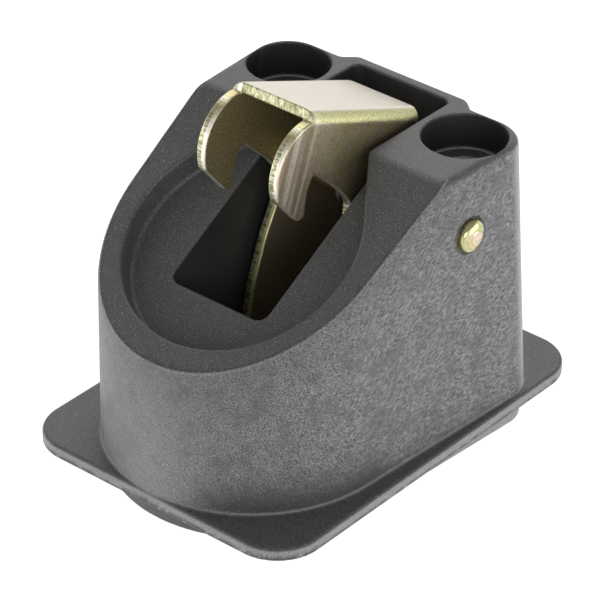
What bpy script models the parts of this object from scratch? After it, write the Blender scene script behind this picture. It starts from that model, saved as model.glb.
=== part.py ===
"""Moulded coupling dock with a sprung steel claw.

A D-shaped glass-filled nylon housing carries a steel claw on a cross pin. The claw's nose
overhangs a round recess in a sloping front face, and its tail hangs in a deep slot.
The frame is in metres: +Z up, +X to the right, -Y towards the rounded front. The origin is
at the middle of the flange's footprint, on the plane of the base pad's underside.
The driving dimensions below are in millimetres.
"""

import math

import bmesh
import bpy
from mathutils import Vector

MM = 0.001
CLEAR = 0.3

# Housing
HEIGHT = 73.2
PAD_DEPTH = 4.6
FLANGE_WIDTH = 76.4
FLANGE_LENGTH = 105.0
FLANGE_THICKNESS = 3.0
FLANGE_CORNER = 11.0
FLANGE_TOP = PAD_DEPTH + FLANGE_THICKNESS
BASE_PLAN = {"front_radius": 33.8, "front_y": -18.2, "flare": 3.4, "rear_y": 37.9,
             "corner": 8.5, "bulge": 0.0}
TOP_PLAN = {"front_radius": 33.4, "front_y": -17.8, "flare": 3.1, "rear_y": 34.0,
            "corner": 9.4, "bulge": 2.7}
PAD_PLAN = {"front_radius": 33.1, "front_y": -17.3, "flare": 3.9, "rear_y": 37.0,
            "corner": 8.5, "bulge": 0.0}
BULGE_FOOT_X = 18.4
BULGE_FACE_X = 14.8
TOP_FILLET = 1.8
RAMP_TOP_Y = 4.3
RAMP_ANGLE = math.radians(29.85)
RECESS_CENTRE = 30.3
RECESS_RADIUS = 27.5
RECESS_DEPTH = 6.0
SLOT_HALF = 13.4
SLOT_FRONT_Y = -30.1
SLOT_REAR_Y = 33.1
SLOT_CORNER = 2.0
SLOT_REAR_CORNER = 2.5
HOLE_X = 25.0
HOLE_Y = 23.1
HOLE_RADIUS = 4.9
COUNTERBORE_RADIUS = 9.55
COUNTERBORE_DEPTH = 8.5
WALL = 4.0
SLOT_WALL = 3.5
CAVITY_REAR_Y = 6.0
CAVITY_TOP = 62.0
STOP_FRONT_Y = 25.3
STOP_INNER_X = 8.7
STOP_LOW = 28.0
STOP_HIGH = 38.0

# Base cover and its screws
COVER_LOW = 0.4
COVER_HIGH = 3.6
REBATE = 1.6
TONGUE_HALF = 15.0
TONGUE_REAR_Y = 34.7
SCREW_SPOTS = ((-23.5, -14.0), (23.5, -14.0), (-12.0, -41.5), (12.0, -41.5))
SCREW_RADIUS = 1.5
SCREW_LENGTH = 12.0
SCREW_HEAD_RADIUS = 3.0
SCREW_HEAD_HEIGHT = 1.6
SCREW_BOSS = 4.2

# Cross pin and what sits on it
PIN_Y = 12.7
PIN_Z = 56.9
PIN_RADIUS = 3.0
PIN_HEAD_RADIUS = 3.9
PIN_HEAD_FACE = 35.0
PIN_HEAD_HEIGHT = 2.2
SPOT_FACE_RADIUS = 4.3
RETAINER_RADIUS = 4.0
RETAINER_THICKNESS = 0.8
WASHER_RADIUS = 6.4
WASHER_THICKNESS = 1.4

# Claw, pressed from sheet; places in the Y-Z plane
SHEET = 2.5
CLAW_HALF = 11.35
BEND_RADIUS = 3.2
WEB_FRONT = (-10.6, 88.6)
WEB_SLOPE = math.radians(22.3)
WEB_LENGTH = 38.9
NOSE_CENTRE = (-11.9, 75.1)
NOSE_RADIUS = 11.3

# Torsion spring
WIRE_RADIUS = 0.7
COIL_RADIUS = 4.4
COIL_TURNS = 3
COIL_PITCH = 1.75
COIL_START_X = 2.4

RAMP_DOWN = Vector((0.0, -math.cos(RAMP_ANGLE), -math.sin(RAMP_ANGLE)))
RAMP_NORMAL = Vector((0.0, -math.sin(RAMP_ANGLE), math.cos(RAMP_ANGLE)))
RAMP_TOP = Vector((0.0, RAMP_TOP_Y, HEIGHT))


def clear_scene():
    for item in list(bpy.data.objects):
        bpy.data.objects.remove(item, do_unlink=True)


def material(name, colour, roughness, metallic=0.0):
    """A plain Principled material."""
    made = bpy.data.materials.new(name)
    made.use_nodes = True
    shader = made.node_tree.nodes["Principled BSDF"]
    shader.inputs["Base Color"].default_value = (*colour, 1.0)
    shader.inputs["Roughness"].default_value = roughness
    shader.inputs["Metallic"].default_value = metallic
    return made


def arc(centre, radius, start, end, steps):
    """Points in degrees from start to end round a 2-D centre, both ends included."""
    points = []
    for step in range(steps + 1):
        turn = math.radians(start + (end - start) * step / steps)
        points.append((centre[0] + radius * math.cos(turn), centre[1] + radius * math.sin(turn)))
    return points


def rounded(corners, steps=5):
    """A closed outline through (a, b, radius) corners, each rounded by a tangent arc."""
    points = []
    for index, (a, b, radius) in enumerate(corners):
        here = Vector((a, b))
        if radius == 0:
            points.append((a, b))
            continue
        back = (Vector(corners[index - 1][:2]) - here).normalized()
        ahead = (Vector(corners[(index + 1) % len(corners)][:2]) - here).normalized()
        half = back.angle(ahead) / 2
        centre = here + (back + ahead).normalized() * (radius / math.sin(half))
        start = here + back * (radius / math.tan(half)) - centre
        end = here + ahead * (radius / math.tan(half)) - centre
        angle = math.atan2(start.y, start.x)
        sweep = math.atan2(start.x * end.y - start.y * end.x, start.dot(end))
        for step in range(steps + 1):
            turn = angle + sweep * step / steps
            points.append((centre.x + radius * math.cos(turn), centre.y + radius * math.sin(turn)))
    return points


def finish_mesh(name, bm, finish, smooth_angle=30.0):
    """Turn a millimetre bmesh into a shaded object in metres."""
    bmesh.ops.remove_doubles(bm, verts=bm.verts, dist=0.001)
    bmesh.ops.recalc_face_normals(bm, faces=bm.faces)
    bmesh.ops.scale(bm, vec=(MM, MM, MM), verts=bm.verts)
    mesh = bpy.data.meshes.new(name)
    bm.to_mesh(mesh)
    bm.free()
    mesh.shade_smooth()
    mesh.set_sharp_from_angle(angle=math.radians(smooth_angle))
    if finish is not None:
        mesh.materials.append(finish)
    made = bpy.data.objects.new(name, mesh)
    bpy.context.collection.objects.link(made)
    return made


def loft(name, rings, finish=None):
    """A closed body skinned over rings of equal length, capped at both ends."""
    bm = bmesh.new()
    made = [[bm.verts.new(point) for point in ring] for ring in rings]
    count = len(rings[0])
    for lower, upper in zip(made, made[1:]):
        for index in range(count):
            after = (index + 1) % count
            bm.faces.new((lower[index], lower[after], upper[after], upper[index]))
    bm.faces.new(made[0])
    bm.faces.new(made[-1])
    return finish_mesh(name, bm, finish)


def prism_x(name, outline, low, high, finish=None):
    """An outline of (y, z) points pulled along X."""
    return loft(name, [[(x, y, z) for y, z in outline] for x in (low, high)], finish)


def prism_z(name, outline, low, high, finish=None):
    """An outline of (x, y) points pulled along Z."""
    return loft(name, [[(x, y, z) for x, y in outline] for z in (low, high)], finish)


def block(name, low, high):
    """A rectangular tool body between two corners."""
    outline = [(low[0], low[1]), (high[0], low[1]), (high[0], high[1]), (low[0], high[1])]
    return prism_z(name, outline, low[2], high[2])


def post(name, x, y, radius, low, high, sides=32):
    """An upright cylindrical tool body."""
    return prism_z(name, arc((x, y), radius, 0, 360 - 360 / sides, sides - 1), low, high)


def turned(name, profile, centre, finish, closed=False, sides=28):
    """A body of revolution about a line along X through centre (y, z).

    The profile holds (x, radius) points. An open one starts and ends on the axis.
    """
    bm = bmesh.new()
    rings = []
    for x, radius in profile:
        if radius == 0:
            rings.append([bm.verts.new((x, centre[0], centre[1]))])
            continue
        circle = arc(centre, radius, 0, 360 - 360 / sides, sides - 1)
        rings.append([bm.verts.new((x, y, z)) for y, z in circle])
    pairs = list(zip(rings, rings[1:]))
    if closed:
        pairs.append((rings[-1], rings[0]))
    for first, second in pairs:
        for index in range(sides):
            after = (index + 1) % sides
            if len(first) == 1:
                bm.faces.new((first[0], second[after], second[index]))
            elif len(second) == 1:
                bm.faces.new((first[index], first[after], second[0]))
            else:
                bm.faces.new((first[index], first[after], second[after], second[index]))
    return finish_mesh(name, bm, finish)


def combine(target, tool, operation="DIFFERENCE"):
    """Add an exact Boolean of a hidden tool body."""
    step = target.modifiers.new(tool.name, "BOOLEAN")
    step.operation = operation
    step.solver = "EXACT"
    step.object = tool
    tool.hide_render = True
    tool.display_type = "WIRE"


def plan_outline(plan, inset=0.0):
    """A plan outline: round front, flared sides, round rear corners, bulged rear."""
    radius = plan["front_radius"] - inset
    flare = math.radians(plan["flare"])
    rear = plan["rear_y"] - inset
    corner = max(plan["corner"] - inset, 1.0)
    half = arc((0.0, plan["front_y"]), radius, -90, -plan["flare"], 18)
    corner_y = rear - corner
    along = (corner_y - plan["front_y"]) * math.tan(flare) + radius / math.cos(flare)
    corner_x = along - corner / math.cos(flare)
    half += arc((corner_x, corner_y), corner, -plan["flare"], 90, 7)
    half.append((BULGE_FOOT_X, rear))
    half.append((BULGE_FACE_X, rear + plan["bulge"]))
    mirrored = [(-x, y) for x, y in reversed(half[1:])]
    return half + mirrored


def body_ring(height, inset=0.0):
    """The housing's plan at a height, between its base and its top."""
    share = (height - FLANGE_TOP) / (HEIGHT - FLANGE_TOP)
    plan = {key: BASE_PLAN[key] + (TOP_PLAN[key] - BASE_PLAN[key]) * share for key in BASE_PLAN}
    return [(x, y, height) for x, y in plan_outline(plan, inset)]


def ramp_prism(name, outline, low, high):
    """An outline of (x, distance down the ramp) points pulled along the ramp's normal."""
    rings = []
    for rise in (low, high):
        base = RAMP_TOP + RAMP_NORMAL * rise
        rings.append([tuple(base + RAMP_DOWN * u + Vector((x, 0, 0))) for x, u in outline])
    return loft(name, rings)


def recess_outline():
    """The round recess, drawn out by two tangents to the slot's corners on the ramp's top line."""
    reach = math.hypot(SLOT_HALF, RECESS_CENTRE)
    start = math.atan2(-RECESS_CENTRE, SLOT_HALF) + math.acos(RECESS_RADIUS / reach)
    first = math.degrees(start)
    round_part = arc((0.0, RECESS_CENTRE), RECESS_RADIUS, first, 180 - first, 40)
    inner = SLOT_HALF - CLEAR
    return ([(inner, -6.0), (SLOT_HALF, 0.0)] + round_part + [(-SLOT_HALF, 0.0), (-inner, -6.0)])


def slot_outline(grow=0.0):
    """The slot's plan, optionally with a wall's thickness at its sides and front."""
    half = SLOT_HALF + grow
    front = SLOT_FRONT_Y - grow
    return rounded([(-half, SLOT_REAR_Y, SLOT_REAR_CORNER), (-half, front, SLOT_CORNER),
                    (half, front, SLOT_CORNER), (half, SLOT_REAR_Y, SLOT_REAR_CORNER)])


def above_ramp(name, drop):
    """Everything over a plane parallel to the ramp and the given distance under it."""
    start = RAMP_TOP - RAMP_NORMAL * drop
    foot = start + RAMP_DOWN * 110
    crest = start - RAMP_DOWN * 90
    outline = [(start.y, start.z), (foot.y, foot.z), (foot.y, 140.0), (crest.y, 140.0)]
    if drop > 0:
        outline[0] = (crest.y, crest.z)
    else:
        outline[3] = (start.y, 140.0)
    return prism_x(name, outline, -60, 60)


def cover_outline_body(name, inset, low, high, rear_side, tongue, tongue_rear, finish=None):
    """The base cover's shape: the front of the plan, with a tongue under the slot."""
    body = prism_z(name, plan_outline(PAD_PLAN, inset), low, high, finish)
    for side in (-1, 1):
        edges = sorted((side * tongue, side * 60))
        trim = block(f"{name}_trim_{side + 2}", (edges[0], rear_side, low - 5),
                     (edges[1], 60, high + 5))
        combine(body, trim)
    end = block(f"{name}_trim_end", (-60, tongue_rear, low - 5), (60, 80, high + 5))
    combine(body, end)
    return body


def make_housing(nylon):
    fillet = [(TOP_FILLET, 0.0), (TOP_FILLET * 0.45, TOP_FILLET * 0.17), (0.0, TOP_FILLET * 0.8)]
    rings = [body_ring(FLANGE_TOP - 1.0)]
    rings += [body_ring(HEIGHT - down, inset) for down, inset in fillet]
    housing = loft("housing", rings, nylon)

    half_x = FLANGE_WIDTH / 2
    half_y = FLANGE_LENGTH / 2
    plate = rounded([(-half_x, -half_y, FLANGE_CORNER), (half_x, -half_y, FLANGE_CORNER),
                     (half_x, half_y, FLANGE_CORNER), (-half_x, half_y, FLANGE_CORNER)], 8)
    combine(housing, prism_z("flange_plate", plate, PAD_DEPTH, FLANGE_TOP), "UNION")
    pad = prism_z("base_pad", plan_outline(PAD_PLAN), 0.0, PAD_DEPTH + 1.0)
    combine(housing, pad, "UNION")

    combine(housing, above_ramp("ramp_cut", 0.0))
    combine(housing, ramp_prism("recess_cut", recess_outline(), -RECESS_DEPTH, 30.0))
    combine(housing, prism_z("slot_cut", slot_outline(), -10, HEIGHT + 20))

    for side in (-1, 1):
        edges = sorted((side * STOP_INNER_X, side * (SLOT_HALF + 1)))
        lug = block(f"stop_lug_{side + 2}", (edges[0], STOP_FRONT_Y, STOP_LOW),
                    (edges[1], SLOT_REAR_Y + 1, STOP_HIGH))
        combine(housing, lug, "UNION")

    cavity = prism_z("cavity", plan_outline(PAD_PLAN, WALL), -10.0, CAVITY_TOP)
    combine(cavity, above_ramp("cavity_roof", RECESS_DEPTH + WALL))
    combine(cavity, block("cavity_end", (-60, CAVITY_REAR_Y, -20), (60, 80, 90)))
    combine(cavity, prism_z("slot_wall", slot_outline(SLOT_WALL), -20, 90))
    for number, (x, y) in enumerate(SCREW_SPOTS, 1):
        combine(cavity, post(f"screw_boss_{number}", x, y, SCREW_BOSS, -20, 90, 20))
    combine(housing, cavity)

    rebate = cover_outline_body("rebate", WALL - REBATE, -10, COVER_HIGH + CLEAR,
                                CAVITY_REAR_Y + REBATE, TONGUE_HALF, TONGUE_REAR_Y)
    combine(housing, rebate)
    for side, x in (("left", -HOLE_X), ("right", HOLE_X)):
        combine(housing, post(f"bolt_hole_{side}", x, HOLE_Y, HOLE_RADIUS, -10, HEIGHT + 10))
        combine(housing, post(f"counterbore_{side}", x, HOLE_Y, COUNTERBORE_RADIUS,
                              HEIGHT - COUNTERBORE_DEPTH, HEIGHT + 10, 48))
    for number, (x, y) in enumerate(SCREW_SPOTS, 1):
        combine(housing, post(f"pilot_{number}", x, y, SCREW_RADIUS + CLEAR, -10,
                              SCREW_LENGTH + 2 * CLEAR, 12))
    bore = PIN_RADIUS + CLEAR
    face = PIN_HEAD_FACE - CLEAR
    profile = [(-60, 0), (-60, SPOT_FACE_RADIUS), (-face, SPOT_FACE_RADIUS), (-face, bore),
               (face, bore), (face, SPOT_FACE_RADIUS), (60, SPOT_FACE_RADIUS), (60, 0)]
    combine(housing, turned("pin_bore", profile, (PIN_Y, PIN_Z), None))
    return housing


def make_cover(nylon, steel):
    cover = cover_outline_body("base_cover", WALL - REBATE + CLEAR, COVER_LOW, COVER_HIGH,
                               CAVITY_REAR_Y + REBATE - CLEAR, TONGUE_HALF - CLEAR,
                               TONGUE_REAR_Y - CLEAR, nylon)
    seat = COVER_LOW + SCREW_HEAD_HEIGHT + CLEAR
    for number, (x, y) in enumerate(SCREW_SPOTS, 1):
        combine(cover, post(f"cover_hole_{number}", x, y, SCREW_RADIUS + CLEAR, -10, 10, 16))
        combine(cover, post(f"cover_seat_{number}", x, y, SCREW_HEAD_RADIUS + CLEAR, -10, seat, 24))
        make_screw(f"cover_screw_{number}", x, y, seat - CLEAR, steel)
    combine(cover, post("drain_hole", 0, -8.0, 2.5, -10, 10, 20))
    return cover


def make_screw(name, x, y, seat, steel):
    """A pan-head screw driven upwards, with a cross recess in its head."""
    sides = 20
    low = seat - SCREW_HEAD_HEIGHT
    levels = [(low, SCREW_HEAD_RADIUS * 0.72), (low + 0.5, SCREW_HEAD_RADIUS),
              (seat, SCREW_HEAD_RADIUS), (seat, SCREW_RADIUS),
              (SCREW_LENGTH - 1.2, SCREW_RADIUS), (SCREW_LENGTH, 0.5)]
    rings = []
    for z, radius in levels:
        circle = arc((x, y), radius, 0, 360 - 360 / sides, sides - 1)
        rings.append([(a, b, z) for a, b in circle])
    screw = loft(name, rings, steel)
    for number, (wide, deep) in enumerate(((1.7, 0.35), (0.35, 1.7)), 1):
        combine(screw, block(f"{name}_drive_{number}", (x - wide, y - deep, low - 1),
                             (x + wide, y + deep, low + 0.9)))


def web_point(along, down=0.0):
    """A (y, z) point on the claw's web: distance back from its front edge, and under its top."""
    y = WEB_FRONT[0] + along * math.cos(WEB_SLOPE) - down * math.sin(WEB_SLOPE)
    z = WEB_FRONT[1] - along * math.sin(WEB_SLOPE) - down * math.cos(WEB_SLOPE)
    return (y, z)


def claw_outline():
    """The side view of the claw: nose, mouth, waist, tail and heel, in (y, z)."""
    nose = arc(NOSE_CENTRE, NOSE_RADIUS, 197, 88, 12)
    lower = rounded([(*nose[0], 0), (-16.3, 64.2, 1.2), (-14.3, 64.4, 0.5), (-13.4, 70.1, 3),
                     (-11.0, 73.9, 1.2), (-2.2, 65.6, 4), (1.6, 60.8, 3), (0.6, 53.5, 6), (-3.2, 46.5, 12),
                     (-7.3, 35.8, 20), (-11.3, 16.1, 3.5), (1.0, 16.1, 3.5), (12.0, 26.5, 8),
                     (25.0, 33.5, 4), (25.0, 56.0, 12),
                     (*web_point(WEB_LENGTH - 1.0, 6.0), 0)], 4)
    top = [web_point(WEB_LENGTH, 3.0), web_point(WEB_LENGTH), web_point(0.0)]
    return nose + list(reversed(top)) + list(reversed(lower[1:]))


def make_claw(steel):
    claw = prism_x("claw_lever", claw_outline(), -CLAW_HALF, CLAW_HALF, steel)
    channel = [(-60, -20), (90, -20), (90, 40), web_point(WEB_LENGTH + 20, SHEET),
               web_point(0.0, SHEET), web_point(0.0, -15), (-60, 120)]
    inner = CLAW_HALF - SHEET
    combine(claw, prism_x("claw_channel", channel, -inner, inner))
    for side in (-1, 1):
        centre = (CLAW_HALF - BEND_RADIUS, BEND_RADIUS)
        section = [(centre[0] + BEND_RADIUS * math.sin(turn), centre[1] - BEND_RADIUS * math.cos(turn))
                   for turn in (math.radians(15 * step) for step in range(7))]
        section += [(CLAW_HALF + 2, BEND_RADIUS), (CLAW_HALF + 2, -2), (centre[0], -2)]
        rings = []
        for along in (-0.4, WEB_LENGTH + 5):
            rings.append([(side * x, *web_point(along, down)) for x, down in section])
        combine(claw, loft(f"claw_bend_{side + 2}", rings))
    profile = [(-30, 0), (-30, PIN_RADIUS + CLEAR), (30, PIN_RADIUS + CLEAR), (30, 0)]
    combine(claw, turned("claw_eye", profile, (PIN_Y, PIN_Z), None))
    return claw


def make_pin(steel):
    head = PIN_HEAD_FACE
    dome = [(head, PIN_HEAD_RADIUS), (head + 0.5, PIN_HEAD_RADIUS)]
    dome += [(head + 0.5 + (PIN_HEAD_HEIGHT - 0.5) * math.sin(turn), PIN_HEAD_RADIUS * math.cos(turn))
             for turn in (math.radians(a) for a in (20, 40, 60, 78))]
    dome.append((head + PIN_HEAD_HEIGHT, 0))
    tail = -PIN_HEAD_FACE - PIN_HEAD_HEIGHT
    shank = [(tail, 0), (tail, PIN_RADIUS - 0.6), (tail + 0.6, PIN_RADIUS), (head, PIN_RADIUS)]
    return turned("pivot_pin", shank + dome, (PIN_Y, PIN_Z), steel)


def ring_on_pin(name, low, high, radius, finish, dish=0.0):
    """A plain or slightly dished ring round the pin."""
    bore = PIN_RADIUS + CLEAR
    profile = [(low, bore), (low + dish, radius), (high + dish, radius), (high, bore)]
    return turned(name, profile, (PIN_Y, PIN_Z), finish, closed=True)


def spring_path():
    """The spring's wire: a leg to the slot's rear wall, the coil, a leg under the claw's web."""
    count = 18
    wall_y = SLOT_REAR_Y - CLEAR - WIRE_RADIUS
    first = COIL_START_X + COIL_PITCH * COIL_TURNS
    path = [(first, wall_y, PIN_Z - 14.0), (first, wall_y, PIN_Z - 9.0)]
    for step in range(count * COIL_TURNS + 6):
        turn = math.radians(-95.0 - 360.0 * step / count)
        x = first - COIL_PITCH * step / count
        path.append((x, PIN_Y + COIL_RADIUS * math.cos(turn), PIN_Z + COIL_RADIUS * math.sin(turn)))
    for along in (32.5, 36.0):
        path.append((path[-1][0], *web_point(along, SHEET + CLEAR + WIRE_RADIUS)))
    return path


def make_spring(steel):
    points = spring_path()
    curve = bpy.data.curves.new("torsion_spring", "CURVE")
    curve.dimensions = "3D"
    curve.bevel_depth = WIRE_RADIUS * MM
    curve.bevel_resolution = 2
    curve.use_fill_caps = True
    line = curve.splines.new("POLY")
    line.points.add(len(points) - 1)
    for knot, point in zip(line.points, points):
        knot.co = (point[0] * MM, point[1] * MM, point[2] * MM, 1.0)
    line.use_smooth = True
    curve.materials.append(steel)
    made = bpy.data.objects.new("torsion_spring", curve)
    bpy.context.collection.objects.link(made)
    return made


def hang_on_pivot(pieces):
    """Give the moving pieces a parent empty on the pin's axis."""
    pivot = bpy.data.objects.new("claw_pivot", None)
    bpy.context.collection.objects.link(pivot)
    pivot.location = (0.0, PIN_Y * MM, PIN_Z * MM)
    bpy.context.view_layer.update()
    for piece in pieces:
        piece.parent = pivot
        piece.matrix_parent_inverse = pivot.matrix_world.inverted()


def main():
    clear_scene()
    nylon = material("glass_filled_nylon", (0.045, 0.046, 0.048), 0.55)
    cover_nylon = material("cover_nylon", (0.035, 0.036, 0.038), 0.5)
    passivated = material("yellow_passivated_steel", (0.62, 0.55, 0.33), 0.32, 1.0)
    pin_steel = material("gold_pin_steel", (0.72, 0.62, 0.36), 0.2, 1.0)
    spring_steel = material("spring_steel", (0.32, 0.32, 0.33), 0.35, 1.0)
    zinc = material("zinc_screw_steel", (0.62, 0.63, 0.65), 0.35, 1.0)
    acetal = material("acetal", (0.02, 0.02, 0.021), 0.4)

    make_housing(nylon)
    make_cover(cover_nylon, zinc)
    claw = make_claw(passivated)
    make_pin(pin_steel)
    end = -PIN_HEAD_FACE
    ring_on_pin("pin_retainer", end - RETAINER_THICKNESS, end, RETAINER_RADIUS, pin_steel, -0.5)
    inside = CLAW_HALF + CLEAR
    ring_on_pin("side_washer_right", inside, inside + WASHER_THICKNESS, WASHER_RADIUS, acetal)
    ring_on_pin("side_washer_left", -inside - WASHER_THICKNESS, -inside, WASHER_RADIUS, acetal)
    spring = make_spring(spring_steel)
    hang_on_pivot([claw, spring])


main()
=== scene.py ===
"""The looks of the coupling dock: finely rounded housing, folded claw and domed pin.

Shapes are measured in millimetres in the CAD's own frame and are turned into metres when a
mesh is made. The housing and the claw are skinned over distance fields, so that each edge has
its real rounding, and their vertices are marked with zones (walls, rims, cut edges) that the
materials read. The pin is a turned profile. The cover, its screws, the spring, the washers and
the pin's ring are the CAD's own meshes with new materials.
"""

import math

import bmesh
import bpy
import numpy as np
from mathutils import Matrix, Vector


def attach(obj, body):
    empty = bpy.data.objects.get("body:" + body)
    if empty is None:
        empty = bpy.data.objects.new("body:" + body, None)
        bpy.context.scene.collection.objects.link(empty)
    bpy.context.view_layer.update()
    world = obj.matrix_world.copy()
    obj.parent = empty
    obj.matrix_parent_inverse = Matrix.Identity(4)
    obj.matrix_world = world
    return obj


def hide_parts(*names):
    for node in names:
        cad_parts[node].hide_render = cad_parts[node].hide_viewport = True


MM = 0.001
SHARP_ANGLE = math.radians(40.0)
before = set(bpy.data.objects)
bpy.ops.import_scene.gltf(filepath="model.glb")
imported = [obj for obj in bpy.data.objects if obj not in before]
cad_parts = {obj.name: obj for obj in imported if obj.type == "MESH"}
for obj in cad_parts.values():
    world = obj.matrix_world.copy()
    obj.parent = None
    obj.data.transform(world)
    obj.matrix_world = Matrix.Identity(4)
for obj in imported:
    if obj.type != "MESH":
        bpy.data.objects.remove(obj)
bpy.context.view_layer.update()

# Housing, as in the CAD
HEIGHT = 73.2
PAD_DEPTH = 4.6
BODY_FOOT = 5.0
FLANGE_HALF = (38.2, 52.5)
FLANGE_TOP = 7.6
FLANGE_CORNER = 11.0
# Plan outlines: front radius and its centre's y, side flare in degrees, rear y, rear corner's
# radius, how far the rear bulges
BASE_PLAN = (33.8, -18.2, 3.4, 37.9, 8.5, 0.0)
TOP_PLAN = (33.4, -17.8, 3.1, 34.0, 9.4, 2.7)
PAD_PLAN = (33.1, -17.3, 3.9, 37.0, 8.5, 0.0)
BULGE_FOOT_X = 18.4
BULGE_FACE_X = 14.8
BULGE_EASE_OUT = 0.6
BULGE_EASE_IN = 0.4
RAMP_TOP_Y = 4.3
RAMP_ANGLE = math.radians(29.85)
RECESS_CENTRE = 30.3
RECESS_RADIUS = 27.5
RECESS_DEPTH = 6.0
SLOT_HALF = 13.4
SLOT_Y = (-30.1, 33.1)
HOLE = (25.0, 23.1)
HOLE_RADIUS = 4.9
COUNTERBORE_RADIUS = 9.55
COUNTERBORE_DEPTH = 8.5
COUNTERBORE_FLOOR = HEIGHT - COUNTERBORE_DEPTH
COVER_TOP = 3.6
TONGUE_HALF = 15.0
TONGUE_MID_Y = 17
TONGUE_REAR_Y = 34.7
COVER_REAR_Y = 7.6
COVER_INSET = 2.4
COVER_GAP = 0.3
SCREW_SPOTS = ((-23.5, -14.0), (23.5, -14.0), (-12.0, -41.5), (12.0, -41.5))
PILOT_RADIUS = 1.8
PILOT_TOP = 12.6
LUG_X = 11.5
LUG_HALF = 2.8
LUG_Z = 33
LUG_HALF_HEIGHT = 5
LUG_FACE_Y = 25.3
LUG_BACK_Y = 34

# Roundings and fillets of the housing
TOP_ROUND = 1.9
RAMP_ROUND = 0.6
RECESS_ROUND = 0.7
RECESS_FILLET = 0.9
SLOT_ROUND = 0.3
SLOT_CORNER = 2.2
FLANGE_ROUND = 0.8
FLANGE_UNDER_ROUND = 0.35
FOOT_FILLET = 0.6
PAD_ROUND = 0.7
PAD_FILLET = 0.3
LUG_ROUND = 0.5
COVER_ROUND = 0.3
HOLE_ROUND = 0.6
COUNTERBORE_ROUND = 0.2
COUNTERBORE_FILLET = 0.4

# Pin and claw
PIN_Y = 12.7
PIN_Z = 56.9
PIN_HEAD_FACE = 35.0
PIN_BORE_RADIUS = 3.3
SPOT_FACE_RADIUS = 4.3
SPOT_FACE_DEPTH = 0.3
SHEET = 2.5
CLAW_HALF = 11.35
BEND_RADIUS = 3.2
CUT_ROUND = 0.45
CLAW_Y = (-23.6, 25.5)
CLAW_FOOT_Z = 16
WEB_FRONT = (-10.6, 88.6)
WEB_SLOPE = math.radians(22.3)
WEB_LENGTH = 38.9

# Camera: azimuth, elevation and roll in degrees, its place in metres, its lens in millimetres
CAMERA_TURN = (40.16, 32.72, 0.25)
CAMERA_PLACE = (0.43599, -0.51717, 0.46516)
CAMERA_LENS = 213.8

# Soft panels: name, azimuth and elevation in degrees, distance and size in metres, watts
PANELS = (("back_panel", 215, 38, 0.8, (0.7, 0.5), 2.6),
          ("left_panel", -65, 2, 0.5, (0.5, 0.15), 1.0),
          ("right_panel", 122, 4, 0.35, (0.25, 0.12), 0.16),
          ("front_panel", 55, 18, 1.0, (0.6, 0.4), 2.5))


# ---------------------------------------------------------------- distance fields

def both(a, b, radius):
    """Where two solids overlap, with that edge rounding."""
    edge = np.hypot(np.maximum(a + radius, 0), np.maximum(b + radius, 0))
    return np.minimum(np.maximum(a, b), -radius) + edge


def either(a, b, radius):
    """Two solids joined, with a fillet of that radius between them."""
    return -both(-a, -b, radius)


def without(a, b, radius):
    """Solid a less solid b, with that edge rounding."""
    return both(a, -b, radius)


def smooth_step(value):
    """0 up to 0, 1 from 1 on, eased between them."""
    share = np.clip(value, 0, 1)
    return share * share * (3 - 2 * share)


def plan_field(x, y, plan):
    """Distance to a plan outline: round front, flared sides, round rear corners, bulged rear."""
    radius, front_y, flare, rear, corner, bulge = plan
    side_x = np.abs(x)
    cos_f, sin_f = np.cos(np.radians(flare)), np.sin(np.radians(flare))
    side = side_x * cos_f - (y - front_y) * sin_f - radius
    front = np.hypot(side_x, y - front_y) - radius
    wall = np.where((y - front_y) * cos_f + side_x * sin_f < 0, front, side)
    foot_x = BULGE_FOOT_X + BULGE_EASE_OUT
    swell = smooth_step((foot_x - side_x) / (foot_x - BULGE_FACE_X + BULGE_EASE_IN))
    back = y - rear - bulge * swell
    return both(wall, back, corner)


def box_field(x, y, half_x, half_y, radius):
    """Distance to a rectangle with round corners, centred on the origin."""
    a = np.abs(x) - half_x + radius
    b = np.abs(y) - half_y + radius
    return np.hypot(np.maximum(a, 0), np.maximum(b, 0)) + np.minimum(np.maximum(a, b), 0) - radius


def body_field(x, y, z):
    """Distance to the body's walls, whose plan changes evenly from the flange to the top."""
    share = (z - FLANGE_TOP) / (HEIGHT - FLANGE_TOP)
    return plan_field(x, y, [low + (high - low) * share for low, high in zip(BASE_PLAN, TOP_PLAN)])


def slot_field(x, y):
    """Distance to the slot's plan."""
    middle = (SLOT_Y[0] + SLOT_Y[1]) / 2
    return box_field(x, y - middle, SLOT_HALF, (SLOT_Y[1] - SLOT_Y[0]) / 2, SLOT_CORNER)


def from_hole(x, y):
    """Distance from the middle of the nearer screw hole."""
    return np.hypot(np.abs(x) - HOLE[0], y - HOLE[1])


def from_pin(y, z):
    """Distance from the cross pin's axis."""
    return np.hypot(y - PIN_Y, z - PIN_Z)


def ramp_height(y, z):
    """Height over the ramp's plane, square to it."""
    return -(y - RAMP_TOP_Y) * math.sin(RAMP_ANGLE) + (z - HEIGHT) * math.cos(RAMP_ANGLE)


def recess_field(x, y, z):
    """The round recess in the ramp, drawn out to the slot's corners at the ramp's top."""
    down = -(y - RAMP_TOP_Y) * math.cos(RAMP_ANGLE) - (z - HEIGHT) * math.sin(RAMP_ANGLE)
    reach = math.hypot(SLOT_HALF, RECESS_CENTRE)
    turn = math.atan2(-RECESS_CENTRE, SLOT_HALF) + math.acos(RECESS_RADIUS / reach)
    out_x, out_u = math.cos(turn), math.sin(turn)
    side_x = np.abs(x)
    u = down - RECESS_CENTRE
    line = side_x * out_x + u * out_u - RECESS_RADIUS
    circle = np.hypot(side_x, u) - RECESS_RADIUS
    outline = np.where(side_x * out_u - u * out_x > 0, line, circle)
    return both(outline, -RECESS_DEPTH - ramp_height(y, z), RECESS_FILLET)


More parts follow.
